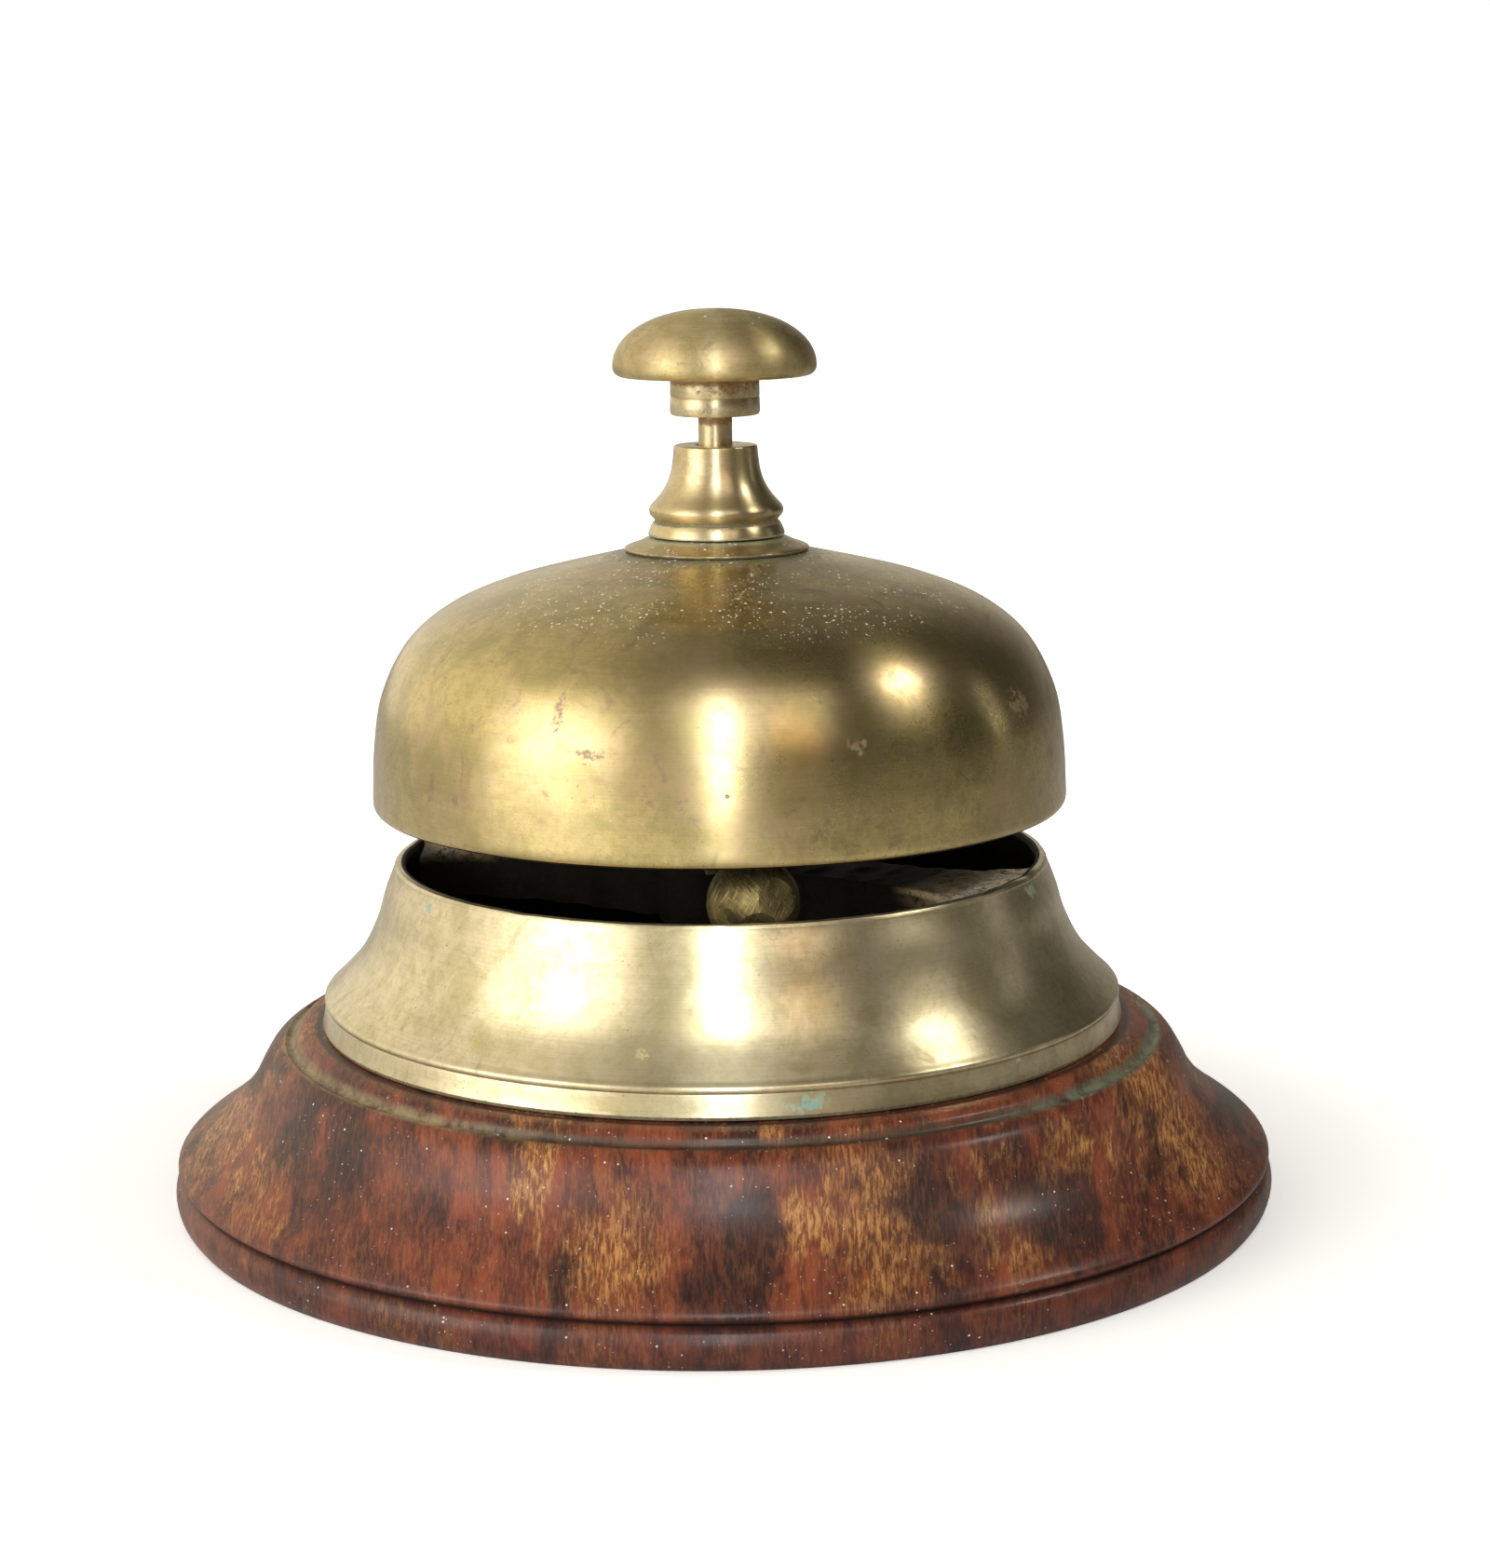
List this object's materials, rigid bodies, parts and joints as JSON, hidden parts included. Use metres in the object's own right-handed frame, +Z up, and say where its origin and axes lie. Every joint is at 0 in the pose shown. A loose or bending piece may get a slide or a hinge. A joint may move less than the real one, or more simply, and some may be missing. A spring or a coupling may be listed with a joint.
{
  "type": "push-top counter service bell",
  "caption": "Push-top counter bell: spun gong over a flared cast ring on a turned wooden base, with plunger, spring and swinging hammer.",
  "frame": {"origin": "middle of the underside, on the centre line of the knob", "axes": "+Z up through the knob; +Y away from the user, who faces the hammer side at -Y"},
  "size_m": [0.1624, 0.1624, 0.13],
  "materials": {
    "polished_brass": "satin, aged, with brown and green patina",
    "cast_brass": "turned outside, rough sand casting inside",
    "steel": "dull, lightly oiled",
    "wood": "worn red-brown lacquer",
    "felt": "wool felt",
    "fibre": "vulcanised fibre"
  },
  "bodies": {
    "base": {"wooden_base": "wood", "felt_pad": "felt", "base_ring": "cast_brass", "ring_screw_1": "steel", "ring_screw_2": "steel", "ring_screw_3": "steel", "center_post": "polished_brass", "post_washer": "polished_brass", "post_nut": "polished_brass", "hammer_bracket": "polished_brass", "pivot_pin": "steel", "seat_washer": "fibre", "gong": "polished_brass", "skirt_washer": "polished_brass", "neck": "polished_brass", "return_spring": "steel"},
    "plunger": {"press_knob": "polished_brass", "knob_collar": "polished_brass", "plunger_rod": "polished_brass", "stop_collar": "steel"},
    "hammer": {"hammer_lever": "steel", "hammer_nut": "steel", "hammer_head": "cast_brass"}
  },
  "joints": [
    {"name": "knob_press", "type": "slide", "parent": "base", "child": "plunger", "axis": [0, 0, -1], "range_m": [0, 0.004], "stiffness_N_per_m": 400, "springref_m": -0.003, "deforming": ["return_spring"]},
    {"name": "hammer_swing", "type": "hinge", "parent": "base", "child": "hammer", "pos_m": [0.00134, -0.01092, 0.064], "axis": [-0.9925, -0.1219, 0], "range_deg": [0, 20.8]}
  ],
  "couplings": [
    {"joint": "hammer_swing", "follows": "knob_press", "rad_per_m": 90}
  ]
}
